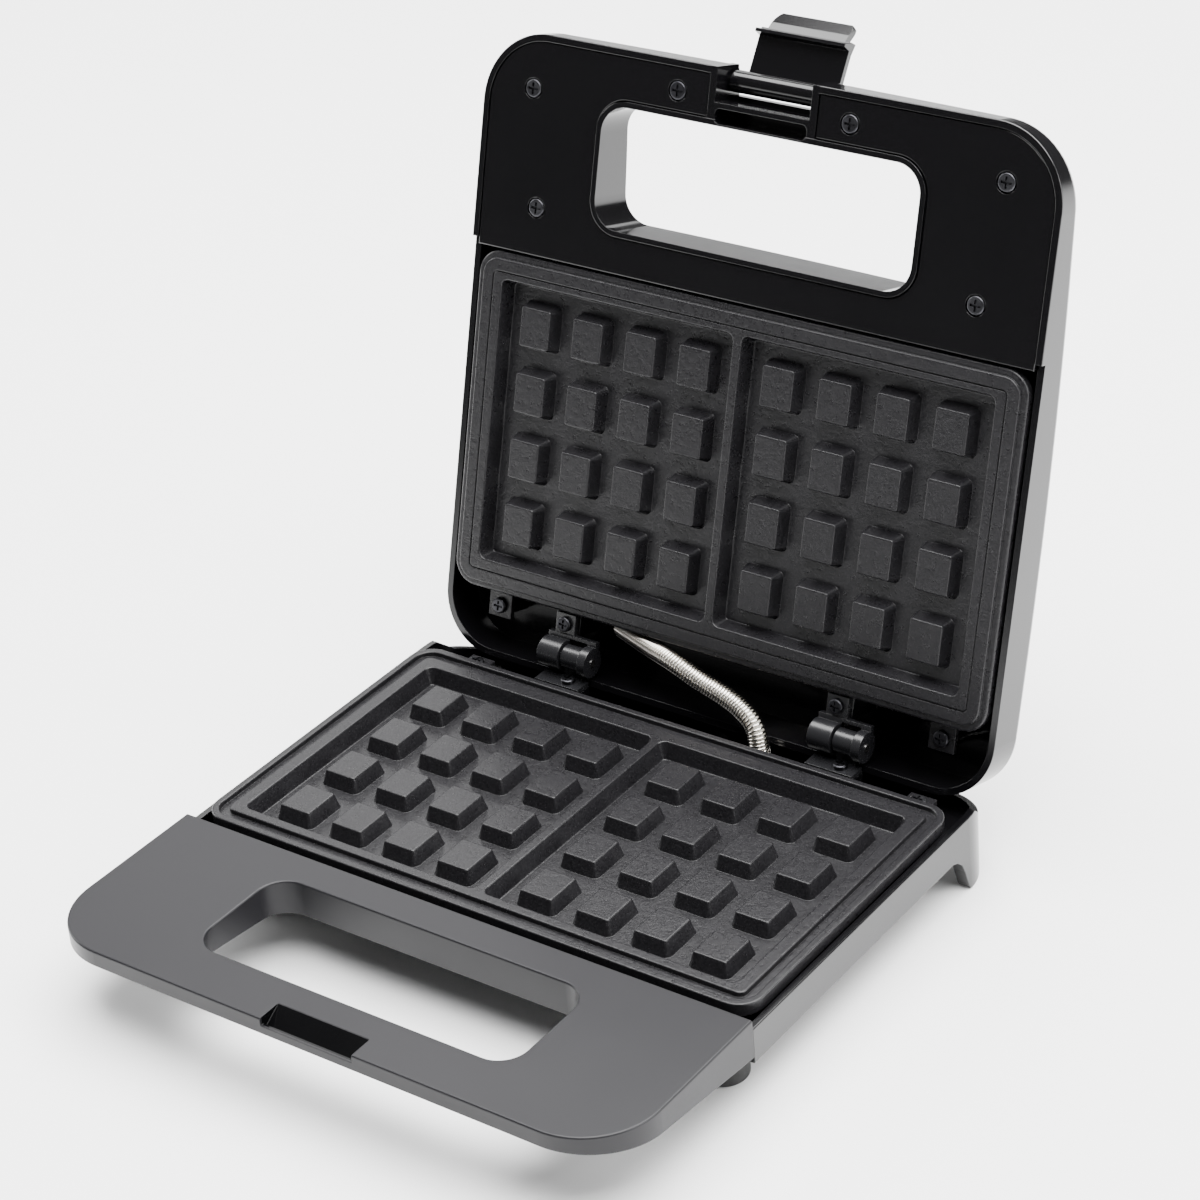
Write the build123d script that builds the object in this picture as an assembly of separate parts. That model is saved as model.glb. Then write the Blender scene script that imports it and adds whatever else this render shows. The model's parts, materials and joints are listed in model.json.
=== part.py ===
"""Two-slice waffle maker: a hinged clamshell with carrying handles, drawn in millimetres.

+X is the right-hand side seen from the front, -Y is the front (the handles) and +Z is up.
The origin lies on the table, under the middle of the open appliance's outer box.
Lid pieces are drawn closed and then turned about the hinge into the open storage pose.
"""
import math
import os

from build123d import *

# ---- driving dimensions ------------------------------------------------------------------
WIDTH = 232.0              # over the side walls
BODY_LENGTH = 230.4        # front of the handles to the rear wall, closed
HANDLE_DEPTH = 76.0        # front of the handles to the plate bay
FRONT_RADIUS = 26.5
REAR_RADIUS = 22.0
PARTING_Z = 33.0           # plane where lid and base meet
FRONT_Y = -158.23          # places the open appliance's box around the origin
WALL = 2.5
LID_OPEN_ANGLE = 106.3
LATCH_TRAVEL = 108.5

REAR_Y = FRONT_Y + BODY_LENGTH
JUNCTION_Y = FRONT_Y + HANDLE_DEPTH
HALF_WIDTH = WIDTH / 2
HINGE_Y = REAR_Y - 9.4
HINGE_Z = PARTING_Z + 1.6
SPLIT_GAP = 0.3            # half the clearance between lid and base at the parting plane
SEAM_GAP = 0.12            # seam between the handle cover and the base shell

# base housing
BASE_TOP_Z = PARTING_Z - 3.85
BASE_BOTTOM_Z = PARTING_Z - 17.0
BASE_FRONT_EDGE = 6.3      # height of the base handle at its front
BASE_HANDLE_REAR_EDGE = 14.8
BELLY_BOTTOM_Z = PARTING_Z - 25.0
BELLY_HALF_WIDTH = 97.0
BELLY_FRONT_Y = JUNCTION_Y + 20.0
BELLY_REAR_Y = REAR_Y - 34.0
HANDLE_PLATE = 2.0         # sheet under the base handle cover
OUTER_EDGE_ROUND = 0.7
UNDER_EDGE_ROUND = 0.5
FLOOR_SHEET = 2.3          # floor of the base
BELLY_RADIUS = 14.0
CATCH_HALF_WIDTH = 18.5    # notch that the latch closes over
CATCH_DEPTH = 9.4
LEG_WALL = 4.5
BOSS_RADIUS = 3.2
BOSS_GAP = 0.8

# handle opening
HOLE_HALF_WIDTH = 64.2
HOLE_FRONT_Y = FRONT_Y + 19.9
HOLE_REAR_Y = FRONT_Y + 63.2
HOLE_RADIUS = 10.0
COLLAR_WALL = 2.0

# lid housing: height of the side and of the crown at stations behind the front
LID_STATIONS = ((-4.0, 8.4, 14.0), (30.0, 13.0, 18.5), (90.0, 18.6, 24.0), (175.0, 21.2, 26.5),
                (236.0, 20.0, 25.0))
LID_RIM_Z = PARTING_Z + 3.0
LID_EDGE_RADIUS = 3.5
LID_TOP_Z = PARTING_Z + 40.0   # safely above the lid's roof
PILOT_DEPTH = 7.0          # screw holes in the lid's bosses

# cooking plates
PLATE_HALF_WIDTH = 112.3
PLATE_FRONT_Y = JUNCTION_Y + 3.4
PLATE_REAR_Y = FRONT_Y + 205.1
PLATE_RADIUS = 9.0
PLATE_FLANGE = 4.5
PLATE_DEPTH = 8.6
CAVITY_DEPTH = 6.4
CAVITY_WIDTH = 99.6
CAVITY_LENGTH = 104.5
CAVITY_PITCH = 102.8
CAVITY_CENTRE_Y = FRONT_Y + 141.4
PEG_ROWS = 4
PEG_PITCH_X = 22.8
PEG_PITCH_Y = 24.5
PEG_FACE_X = 12.4
PEG_FACE_Y = 14.2
PEG_DRAFT = 17.0
PEG_DROP = 0.8             # peg faces lie this far below the rim
PEG_FOOT_RADIUS = 2.4
CAST_ROUND = 0.5           # small rounds of the casting

# heating element
ELEMENT_RADIUS = 2.8
ELEMENT_DEPTH = PLATE_DEPTH + ELEMENT_RADIUS + 0.1
ELEMENT_HALF_WIDTH = 78.0
ELEMENT_BEND = 8.5
ELEMENT_FRONT_Y = CAVITY_CENTRE_Y - 34.0
ELEMENT_REAR_Y = CAVITY_CENTRE_Y + 10.0
ELEMENT_END_Y = CAVITY_CENTRE_Y + 40.0
COLD_END_X = 9.0
REFLECTOR_DEPTH = ELEMENT_DEPTH + ELEMENT_RADIUS + 1.0
REFLECTOR_SHEET = 0.6
REFLECTOR_WIDTH = 186.0
REFLECTOR_LENGTH = 93.0

# hinges, latch and screws
HINGE_XS = (-58.0, 58.0)
PIN_RADIUS = 1.5
PIN_PLAY = 0.05
EAR_RADIUS = 5.6
BARREL_RADIUS = 4.4
LATCH_HALF_WIDTH = 18.0
LATCH_Y = FRONT_Y + 5.4
LATCH_Z = PARTING_Z + 11.2
LATCH_BARREL = 3.9
LATCH_REACH = 21.0         # axis to the root of the finger lip
BAY_HALF_WIDTH = 19.0
BAY_DEPTH = 12.0
BAY_ROOF_GAP = 10.6        # the latch's swing through the lid's roof, behind the front
BAY_WALL = 2.6
SCREW_HOLE = 1.5
SCREW_SHANK = 1.42
SCREW_HEAD = 3.3
PLATE_SCREW = 4.8          # length under the head
COVER_SCREWS = ((94.8, 19.6), (34.5, 10.7), (89.2, 61.3))
TAB_XS = (-94.0, 94.0)

# feet, cord inlet and conduit
FOOT_X = 98.0
FOOT_Y = FRONT_Y + 84.4
FOOT_RADIUS = 8.5
FOOT_HEIGHT = 7.0
INLET_Z = 8.9
CORD_BORE = 3.6
CONDUIT_RADIUS = 3.75
LEAD_RADIUS = 1.1

# places worked out from the driving dimensions
PLATE_LENGTH = PLATE_REAR_Y - PLATE_FRONT_Y
PLATE_MID_Y = (PLATE_FRONT_Y + PLATE_REAR_Y) / 2
TAB_YS = (JUNCTION_Y - 6.0, PLATE_REAR_Y + 6.5)
TAB_DEPTH = 6.6            # under the cooking face
TAB_SHEET = 2.0
TAB_ROOT = 8.5             # how far a tab reaches in under the flange
TAB_SEAT_Z = PARTING_Z - SPLIT_GAP - TAB_DEPTH - TAB_SHEET
COVER_SEAT_Z = PARTING_Z + 3.2
LID_HINGE_SEAT_Z = PARTING_Z + 5.2
BASE_HINGE_SEAT_Z = PARTING_Z - 7.2
GLAND_RADIUS = 5.4
LAMP_XS = (-9.0, 9.0)
LAMP_Y = JUNCTION_Y + 16.0
LENS_RADIUS = 2.5
LAMP_ROOF_Z = PARTING_Z + 24.0
THERMOSTAT_X = 22.0
THERMOSTAT_Y = CAVITY_CENTRE_Y
BELLY_MID_Y = (BELLY_FRONT_Y + BELLY_REAR_Y) / 2

nodes = {}


# ---- helpers -----------------------------------------------------------------------------
def slab(face, z_low, z_high):
    """Upright solid over a face of the XY plane."""
    return Pos(0, 0, z_low) * extrude(face, z_high - z_low)


def block(x0, x1, y0, y1, z0, z1):
    return Pos((x0 + x1) / 2, (y0 + y1) / 2, (z0 + z1) / 2) * Box(x1 - x0, y1 - y0, z1 - z0)


def rod(x, y, z0, z1, radius):
    """Upright cylinder between two heights."""
    return Pos(x, y, (z0 + z1) / 2) * Cylinder(radius, abs(z1 - z0))


def cross_rod(x0, x1, y, z, radius):
    """Cylinder along X."""
    return Pos((x0 + x1) / 2, y, z) * Rot(0, 90, 0) * Cylinder(radius, x1 - x0)


def side_prism(points, x0, x1):
    """Prism along X from an outline of (y, z) points."""
    face = make_face(Plane.YZ * Polyline(*points, close=True))
    return Pos(x0, 0, 0) * extrude(face, x1 - x0, dir=(1, 0, 0))


def outline(half_width, y_front, y_rear, front_radius, rear_radius):
    """Plan view of a housing: a rectangle with its own front and rear corner radii."""
    face = Pos(0, (y_front + y_rear) / 2) * Rectangle(2 * half_width, y_rear - y_front)
    if front_radius:
        face = fillet(face.vertices().sort_by(Axis.Y)[:2], front_radius)
    if rear_radius:
        face = fillet(face.vertices().sort_by(Axis.Y)[-2:], rear_radius)
    return face


def hole_face(grow):
    """Plan view of the hand opening, grown on every side."""
    width = 2 * (HOLE_HALF_WIDTH + grow)
    depth = HOLE_REAR_Y - HOLE_FRONT_Y + 2 * grow
    return Pos(0, (HOLE_FRONT_Y + HOLE_REAR_Y) / 2) * RectangleRounded(width, depth, HOLE_RADIUS + grow)


def opened(shape):
    """Turn a lid piece from the closed pose into the open one."""
    return Pos(0, HINGE_Y, HINGE_Z) * Rot(-LID_OPEN_ANGLE, 0, 0) * Pos(0, -HINGE_Y, -HINGE_Z) * shape


def unlatched(shape):
    """Turn the latch from the latched pose into the free one."""
    return Pos(0, LATCH_Y, LATCH_Z) * Rot(-LATCH_TRAVEL, 0, 0) * Pos(0, -LATCH_Y, -LATCH_Z) * shape


def mirrored_z(shape):
    """Mirror a piece of the base through the parting plane, for the lid."""
    return mirror(shape, about=Plane((0, 0, PARTING_Z)))


def screw(length, head_radius=SCREW_HEAD):
    """Cross-head screw hanging from z = 0: pan head above, shank below."""
    head = Cylinder(head_radius, 1.6, align=(Align.CENTER, Align.CENTER, Align.MIN))
    head = fillet(head.edges().sort_by(Axis.Z)[-1], 0.7)
    for angle in (0, 90):
        head -= Rot(0, 0, angle) * Pos(0, 0, 1.6) * Box(0.62 * 2 * head_radius, 0.85, 1.5)
    return head + Cylinder(SCREW_SHANK, length, align=(Align.CENTER, Align.CENTER, Align.MAX))


def screws(places, length, head_up=True, head_radius=SCREW_HEAD):
    """Group of separate screws at (x, y, z) seats."""
    turn = Rot(0, 0, 0) if head_up else Rot(180, 0, 0)
    return Compound([Pos(*place) * turn * screw(length, head_radius) for place in places])


def swept(points, radii, radius):
    """Round bar along straight runs joined by arcs."""
    path = FilletPolyline(*points, radius=radii)
    return sweep(Plane(path @ 0, z_dir=path % 0) * Circle(radius), path)


# ---- base housing ------------------------------------------------------------------------
def base_profile(drop):
    """Side view of the base handle: flat top, underside falling towards the rear."""
    front_z = PARTING_Z - BASE_FRONT_EDGE + drop
    rear_z = PARTING_Z - BASE_HANDLE_REAR_EDGE + drop
    return [(FRONT_Y - 1, PARTING_Z - SPLIT_GAP - drop), (FRONT_Y - 1, front_z), (JUNCTION_Y, rear_z),
            (JUNCTION_Y, PARTING_Z - SPLIT_GAP - drop)]


def handle_bottom(y):
    """Height of the base handle's underside."""
    slope = (BASE_HANDLE_REAR_EDGE - BASE_FRONT_EDGE) / (HANDLE_DEPTH + 1)
    return PARTING_Z - BASE_FRONT_EDGE - slope * (y - FRONT_Y + 1)


def base_handle_cover():
    top_z = PARTING_Z - SPLIT_GAP
    handle = side_prism(base_profile(0), -HALF_WIDTH, HALF_WIDTH)
    body = slab(outline(HALF_WIDTH, FRONT_Y, JUNCTION_Y, FRONT_RADIUS, 0), 0, PARTING_Z) & handle
    outer_edges = body.edges().filter_by(lambda edge: edge.center().Y < JUNCTION_Y - 1)
    body = fillet(outer_edges.filter_by(lambda edge: edge.center().Z > top_z - 0.1), OUTER_EDGE_ROUND)
    outer_edges = body.edges().filter_by(lambda edge: edge.center().Y < JUNCTION_Y - 1)
    under_edges = outer_edges.filter_by(lambda edge: edge.center().Z < handle_bottom(edge.center().Y) + 0.2)
    body = fillet(under_edges, UNDER_EDGE_ROUND)
    inner = outline(HALF_WIDTH - WALL, FRONT_Y + WALL, JUNCTION_Y + 1, FRONT_RADIUS - WALL, 0)
    hollow = slab(inner, 0, top_z - WALL)
    notch_wall = CATCH_HALF_WIDTH + 3.0
    notch_block = block(-notch_wall, notch_wall, FRONT_Y, FRONT_Y + CATCH_DEPTH + 3.1, 0, PARTING_Z)
    collar = slab(hole_face(COLLAR_WALL), 0, PARTING_Z)
    boss_foot = HANDLE_PLATE + BOSS_GAP
    bosses = [rod(side * x, FRONT_Y + y, handle_bottom(FRONT_Y + y) + boss_foot, top_z - 1, BOSS_RADIUS)
              for side in (-1, 1) for x, y in COVER_SCREWS]
    body = body - (hollow - notch_block - collar)
    for boss in bosses:
        body += boss & handle
    body -= slab(hole_face(0), 0, PARTING_Z + 1)
    rim = [edge for edge in body.edges().group_by(Axis.Z)[-1]
           if abs(edge.center().X) < HOLE_HALF_WIDTH + 1
           and HOLE_FRONT_Y - 1 < edge.center().Y < HOLE_REAR_Y + 1]
    body = fillet(rim, OUTER_EDGE_ROUND)
    # front notch that the latch closes over: a sloping pocket behind a thin lip
    pocket = [(FRONT_Y + CATCH_DEPTH, PARTING_Z + 1), (FRONT_Y + CATCH_DEPTH, top_z),
              (FRONT_Y + 2.2, PARTING_Z - 5.0), (FRONT_Y + 1.6, PARTING_Z - 5.0), (FRONT_Y + 1.6, PARTING_Z - 3.2),
              (FRONT_Y - 1, PARTING_Z - 3.2), (FRONT_Y - 1, PARTING_Z + 1)]
    body -= side_prism(pocket, -CATCH_HALF_WIDTH, CATCH_HALF_WIDTH)
    for side in (-1, 1):
        for x, y in COVER_SCREWS:
            y_screw = FRONT_Y + y
            body -= rod(side * x, y_screw, 0, top_z - WALL, SCREW_HOLE)
    return body


def base_shell():
    tray = outline(HALF_WIDTH, JUNCTION_Y + SEAM_GAP, REAR_Y, 0, REAR_RADIUS)
    inner = outline(HALF_WIDTH - WALL, JUNCTION_Y + 1.9, REAR_Y - WALL, 0, REAR_RADIUS - WALL)
    body = slab(tray, BASE_BOTTOM_Z, BASE_TOP_Z)
    outer_edges = body.edges().filter_by(lambda edge: edge.center().Y > JUNCTION_Y + 1)
    body = fillet(outer_edges.group_by(Axis.Z)[-1] + outer_edges.group_by(Axis.Z)[0], UNDER_EDGE_ROUND)
    body -= slab(inner, BASE_BOTTOM_Z + FLOOR_SHEET, PARTING_Z)

    # belly under the plate
    belly_length = BELLY_REAR_Y - BELLY_FRONT_Y
    belly_height = BASE_BOTTOM_Z - BELLY_BOTTOM_Z

    def belly(inset, z_low, z_high):
        face = RectangleRounded(2 * (BELLY_HALF_WIDTH - inset), belly_length - 2 * inset, BELLY_RADIUS - inset)
        return Pos(0, BELLY_MID_Y, z_low) * extrude(face, z_high - z_low)

    body -= belly(WALL, BASE_BOTTOM_Z - 1, BASE_BOTTOM_Z + 3)
    body += belly(0, BELLY_BOTTOM_Z, BELLY_BOTTOM_Z + belly_height)
    body -= belly(WALL, BELLY_BOTTOM_Z + FLOOR_SHEET, BASE_BOTTOM_Z + FLOOR_SHEET)

    # sheet that closes the underside of the handle
    sheet_face = outline(HALF_WIDTH - WALL - 0.3, FRONT_Y + 13.0, JUNCTION_Y + 0.3, 15, 0)
    top_line = [(FRONT_Y, handle_bottom(FRONT_Y)), (JUNCTION_Y + 1, handle_bottom(JUNCTION_Y + 1))]
    sheet = side_prism([*top_line, *[(y, z + HANDLE_PLATE) for y, z in reversed(top_line)]],
                       -HALF_WIDTH, HALF_WIDTH)
    body += (slab(sheet_face, 0, PARTING_Z) & sheet) - slab(hole_face(COLLAR_WALL + 0.3), 0, PARTING_Z)
    for side in (-1, 1):
        for x, y in COVER_SCREWS:
            seat = handle_bottom(FRONT_Y + y) + 1.0
            if y > 13.0:
                body -= rod(side * x, FRONT_Y + y, 0, PARTING_Z, SCREW_HOLE + 0.2)
                body -= rod(side * x, FRONT_Y + y, 0, seat, SCREW_HEAD + 0.4)

    # the rear wall is scooped low, so that the opened lid can stand in it
    scoop = [(REAR_Y - 17.6, PARTING_Z), (REAR_Y - 17.6, BASE_TOP_Z), (REAR_Y - 11.2, PARTING_Z - 9.2),
             (REAR_Y + 1, PARTING_Z - 12.6), (REAR_Y + 1, PARTING_Z)]
    body -= side_prism(scoop, -HALF_WIDTH - 1, HALF_WIDTH + 1)

    # two rear legs: tapered blades that carry on down from the rounded rear corners
    ring = slab(tray, 0, BASE_BOTTOM_Z + 1)
    ring -= slab(outline(HALF_WIDTH - LEG_WALL, JUNCTION_Y, REAR_Y - LEG_WALL, 0, REAR_RADIUS - LEG_WALL),
                 -1, PARTING_Z)
    side_view = [(REAR_Y - 33, BASE_BOTTOM_Z + 0.5), (REAR_Y - 30, BASE_BOTTOM_Z - 0.8),
                 (REAR_Y - 27.2, BASE_BOTTOM_Z - 3.2), (REAR_Y - 25.4, BASE_BOTTOM_Z - 7), (REAR_Y - 23, 2.0),
                 (REAR_Y - 22, 0.5), (REAR_Y - 20.8, 0), (REAR_Y - 13.5, 0), (REAR_Y - 12, 0.9),
                 (REAR_Y - 6, BASE_BOTTOM_Z - 5), (REAR_Y - 3, BASE_BOTTOM_Z + 0.5)]
    body += ring & side_prism(side_view, -HALF_WIDTH - 1, HALF_WIDTH + 1)

    # posts for the front feet
    for side in (-1, 1):
        body += rod(side * FOOT_X, FOOT_Y, FOOT_HEIGHT - 2.5, BASE_BOTTOM_Z + 1, FOOT_RADIUS - 1.5)

    # bosses for the plate tabs and the hinges
    for x in TAB_XS:
        for y in TAB_YS:
            if y > JUNCTION_Y:
                body += rod(x, y, BASE_BOTTOM_Z + 1, TAB_SEAT_Z, 4.2)
                body -= rod(x, y, BASE_BOTTOM_Z + 3, PARTING_Z, SCREW_HOLE)
            else:
                body += rod(x, y, handle_bottom(y) + 1, TAB_SEAT_Z, 3.6)
                body -= rod(x, y, handle_bottom(y) + 2, PARTING_Z, SCREW_HOLE)
    for x in HINGE_XS:
        body += block(x - 9.8, x + 9.8, HINGE_Y - 9.4, HINGE_Y - 2.1, BASE_BOTTOM_Z + 1, BASE_HINGE_SEAT_Z)
        body -= rod(x + 2.8, HINGE_Y - 5.3, BASE_BOTTOM_Z + 2.5, PARTING_Z, SCREW_HOLE)
    for x in TAB_XS:
        body -= block(x - 6, x + 6, JUNCTION_Y - 1, JUNCTION_Y + 2.2, TAB_SEAT_Z, PARTING_Z)

    # cord outlet: a short hood at the middle of the rear edge
    hood = block(-13, 13, REAR_Y - 30, REAR_Y - 1, INLET_Z - 7.5, BASE_BOTTOM_Z + 1)
    hood = fillet(hood.edges().filter_by(Axis.Y).sort_by(Axis.Z)[:2], 5)
    space = block(-10.5, 10.5, REAR_Y - 27.5, REAR_Y - 3.5, INLET_Z - 6, BASE_BOTTOM_Z + 3)
    body = body + hood - space
    body -= Pos(0, REAR_Y, INLET_Z) * Rot(90, 0, 0) * Cylinder(GLAND_RADIUS + 0.1, 12)

    # vents in the belly
    for row in (-1, 1):
        for step in range(-4, 5):
            centre = Pos(step * 13.0, BELLY_MID_Y + row * 22.0, BELLY_BOTTOM_Z)
            body -= centre * extrude(SlotOverall(26, 3, rotation=90), 6, both=True)
    for x in (-THERMOSTAT_X, THERMOSTAT_X):
        body += rod(x, THERMOSTAT_Y, BELLY_BOTTOM_Z + 1, BELLY_BOTTOM_Z + 5.5, 3.0)
        body -= rod(x, THERMOSTAT_Y, BELLY_BOTTOM_Z + 2.5, PARTING_Z, SCREW_HOLE)
    return body


# ---- lid housing -------------------------------------------------------------------------
def lid_form(inset):
    """Crowned form of the lid, lofted through cross-sections from front to rear."""
    sections = []
    reach = HALF_WIDTH + 2
    for offset, side_height, crown in LID_STATIONS:
        side_z = PARTING_Z + side_height - inset
        crown_z = PARTING_Z + crown - inset
        base = Polyline((-reach, side_z), (-reach, PARTING_Z - 2), (reach, PARTING_Z - 2), (reach, side_z))
        top = ThreePointArc((reach, side_z), (0, crown_z), (-reach, side_z))
        face = make_face(base + top)
        sections.append(Plane((0, FRONT_Y + offset, 0), x_dir=(1, 0, 0), z_dir=(0, -1, 0)) * face)
    return loft(sections)


def lid_shell():
    plan = outline(HALF_WIDTH, FRONT_Y, REAR_Y, FRONT_RADIUS, REAR_RADIUS)
    body = lid_form(0) & slab(plan, PARTING_Z + 0.5, LID_TOP_Z)
    roof = body.faces().sort_by(Axis.Z)[-1]
    body = fillet(roof.edges(), LID_EDGE_RADIUS)
    body = fillet(body.edges().group_by(Axis.Z)[0], UNDER_EDGE_ROUND)
    inner = outline(HALF_WIDTH - WALL, FRONT_Y + WALL, REAR_Y - WALL, FRONT_RADIUS - WALL, REAR_RADIUS - WALL)
    hollow = lid_form(WALL) & slab(inner, PARTING_Z - 1, LID_TOP_Z)
    body -= hollow
    form = lid_form(0.6)

    # collar of the hand opening, walls of the latch bay
    bay_outer = block(-BAY_HALF_WIDTH - BAY_WALL, BAY_HALF_WIDTH + BAY_WALL, FRONT_Y, FRONT_Y + BAY_DEPTH + 9,
                      PARTING_Z + 0.5, LID_TOP_Z)
    pocket = block(-BAY_HALF_WIDTH + 0.6, BAY_HALF_WIDTH - 0.6, FRONT_Y + BAY_DEPTH + 1.9,
                   FRONT_Y + BAY_DEPTH + 7.2, PARTING_Z, PARTING_Z + 12)
    pocket = fillet(pocket.edges().filter_by(Axis.Z), 2.0)
    bay = block(-BAY_HALF_WIDTH, BAY_HALF_WIDTH, FRONT_Y - 1, FRONT_Y + BAY_DEPTH, PARTING_Z, PARTING_Z + 12.4)
    bay += block(-BAY_HALF_WIDTH, BAY_HALF_WIDTH, FRONT_Y - 1, FRONT_Y + BAY_ROOF_GAP, PARTING_Z, LID_TOP_Z)
    body += (slab(hole_face(COLLAR_WALL), PARTING_Z + 0.25, LID_TOP_Z) & form)
    body += (bay_outer & form)
    body = body - pocket - bay - slab(hole_face(0), 0, PARTING_Z + 60)

    # plate region: the rim stands back from the parting plane
    body -= block(-HALF_WIDTH - 1, HALF_WIDTH + 1, JUNCTION_Y, REAR_Y + 1, PARTING_Z - 1, LID_RIM_Z)

    # bosses for the handle cover, the plate tabs and the hinges
    for side in (-1, 1):
        for x, y in COVER_SCREWS:
            body += rod(side * x, FRONT_Y + y, COVER_SEAT_Z, LID_TOP_Z, 3.2) & form
            body -= rod(side * x, FRONT_Y + y, 0, COVER_SEAT_Z + 6, SCREW_HOLE)
    for x in TAB_XS:
        for y in TAB_YS:
            body += rod(x, y, 2 * PARTING_Z - TAB_SEAT_Z, LID_TOP_Z, 4.2) & form
            body -= rod(x, y, 0, 2 * PARTING_Z - TAB_SEAT_Z + PILOT_DEPTH, SCREW_HOLE)
    for x in HINGE_XS:
        body += block(x - 9, x + 1.4, HINGE_Y - 15.4, HINGE_Y - 7, LID_HINGE_SEAT_Z, LID_TOP_Z) & form
        body -= rod(x - 4, HINGE_Y - 11, 0, LID_HINGE_SEAT_Z + PILOT_DEPTH, SCREW_HOLE)
        # slot in the rear wall that passes the base half's leg when the lid is open
        body -= block(x - 2, x + 7.6, REAR_Y - WALL - 1, REAR_Y + 1, PARTING_Z, LID_RIM_Z + 7)

    # seats for the two indicator lenses, and the latch pin's holes
    for x in LAMP_XS:
        body -= rod(x, LAMP_Y, PARTING_Z + 10, LID_TOP_Z, LENS_RADIUS + 0.1)
    body -= cross_rod(-BAY_HALF_WIDTH - 1.6, BAY_HALF_WIDTH + 1.6, LATCH_Y, LATCH_Z, PIN_RADIUS)
    return body


def lid_handle_cover():
    gap = WALL + 0.3
    face = outline(HALF_WIDTH - gap, FRONT_Y + gap, PLATE_FRONT_Y - 0.9, FRONT_RADIUS - gap, 0)
    body = slab(face, PARTING_Z + 0.8, PARTING_Z + 3.0)
    body -= slab(hole_face(COLLAR_WALL + 0.3), 0, PARTING_Z + 20)
    clear = BAY_HALF_WIDTH + 2.9
    cut = block(-clear, clear, FRONT_Y - 10, FRONT_Y + BAY_DEPTH + 9.3, 0, PARTING_Z + 20)
    body -= fillet(cut.edges().filter_by(Axis.Z), 2.5)
    body = fillet(body.edges().group_by(Axis.Z)[0], CAST_ROUND)
    for side in (-1, 1):
        for x, y in COVER_SCREWS:
            body -= rod(side * x, FRONT_Y + y, 0, PARTING_Z + 20, SCREW_HOLE + 0.25)
            body -= rod(side * x, FRONT_Y + y, 0, PARTING_Z + 2.2, SCREW_HEAD + 0.45)
    return body


# ---- cooking plates ----------------------------------------------------------------------
def plate_face(inset):
    """Plan view of a cooking plate, drawn in on every side."""
    size = (2 * (PLATE_HALF_WIDTH - inset), PLATE_LENGTH - 2 * inset)
    return Pos(0, PLATE_MID_Y) * RectangleRounded(*size, max(PLATE_RADIUS - inset, 1.0))


def groove(inset, width, depth):
    """Groove that runs round the plate, cut down from z = 0."""
    return slab(plate_face(inset) - plate_face(inset + width), -depth, 1)


def plate(step, wide_grooves, fine_grooves):
    """Cast plate, cooking face up at z = 0, with two cavities of tapered pegs."""
    step_inset, step_depth = step
    body = slab(plate_face(0), -PLATE_FLANGE, -step_depth)
    if step_depth:
        body = fillet(body.edges().group_by(Axis.Z)[-1], 2 * CAST_ROUND)
        body += slab(plate_face(step_inset), -PLATE_FLANGE, 0)
    for inset, width, depth in wide_grooves:
        body -= groove(inset, width, depth)
    body = fillet(body.edges().group_by(Axis.Z)[-1], CAST_ROUND)
    for inset, width, depth in fine_grooves:
        body -= groove(inset, width, depth)
    body += slab(plate_face(6), -PLATE_DEPTH, -PLATE_FLANGE)

    mouths = [Pos(side * CAVITY_PITCH / 2, CAVITY_CENTRE_Y) for side in (-1, 1)]
    cavity = extrude(RectangleRounded(CAVITY_WIDTH, CAVITY_LENGTH, 3.0), -CAVITY_DEPTH, taper=15)
    cavity = fillet(cavity.edges().group_by(Axis.Z)[0], CAST_ROUND)
    for mouth in mouths:
        body -= mouth * cavity
    reach_x = (CAVITY_PITCH + CAVITY_WIDTH) / 2 + 0.1
    reach_y = CAVITY_LENGTH / 2 + 0.1
    lips = [edge for edge in body.edges().group_by(Axis.Z)[-1]
            if abs(edge.center().X) < reach_x and abs(edge.center().Y - CAVITY_CENTRE_Y) < reach_y]
    body = fillet(lips, CAST_ROUND)

    middle = (PEG_ROWS - 1) / 2
    one_peg = peg()
    for mouth in mouths:
        for column in range(PEG_ROWS):
            for row in range(PEG_ROWS):
                place = Pos((column - middle) * PEG_PITCH_X, (row - middle) * PEG_PITCH_Y, -PEG_DROP)
                body += mouth * place * one_peg
    for x in TAB_XS:
        for end, y in zip((-1, 1), TAB_YS):
            edge = PLATE_MID_Y + end * (PLATE_LENGTH / 2 - TAB_ROOT)
            y_low, y_high = sorted((edge, y + end * 4.5))
            body += block(x - 5, x + 5, y_low, y_high, -TAB_DEPTH - TAB_SHEET, -TAB_DEPTH)
            body -= rod(x, y, -20, 5, SCREW_HOLE + 0.2)
    return body


def peg():
    """Tapered peg with its face at z = 0, rooted in the cavity floor."""
    height = CAVITY_DEPTH - PEG_DROP
    spread = 2 * height * math.tan(math.radians(PEG_DRAFT))
    foot_face = RectangleRounded(PEG_FACE_X + spread, PEG_FACE_Y + spread, PEG_FOOT_RADIUS)
    body = Pos(0, 0, -height) * extrude(foot_face, height, taper=PEG_DRAFT)
    body = fillet(body.edges().group_by(Axis.Z)[-1], CAST_ROUND)
    return body + Pos(0, 0, -height - 1) * extrude(foot_face, 1)


# ---- heating parts, drawn for the base and mirrored for the lid ----------------------------
def element():
    """Sheathed heater bent into a rounded loop, its two cold ends side by side at the rear."""
    z = PARTING_Z - SPLIT_GAP - ELEMENT_DEPTH
    left = [(-COLD_END_X, ELEMENT_END_Y, z), (-COLD_END_X, ELEMENT_REAR_Y, z),
            (-ELEMENT_HALF_WIDTH, ELEMENT_REAR_Y, z), (-ELEMENT_HALF_WIDTH, ELEMENT_FRONT_Y, z)]
    right = [(-x, y, z) for x, y, z in reversed(left)]
    return swept(left + right, ELEMENT_BEND, ELEMENT_RADIUS)


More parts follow.
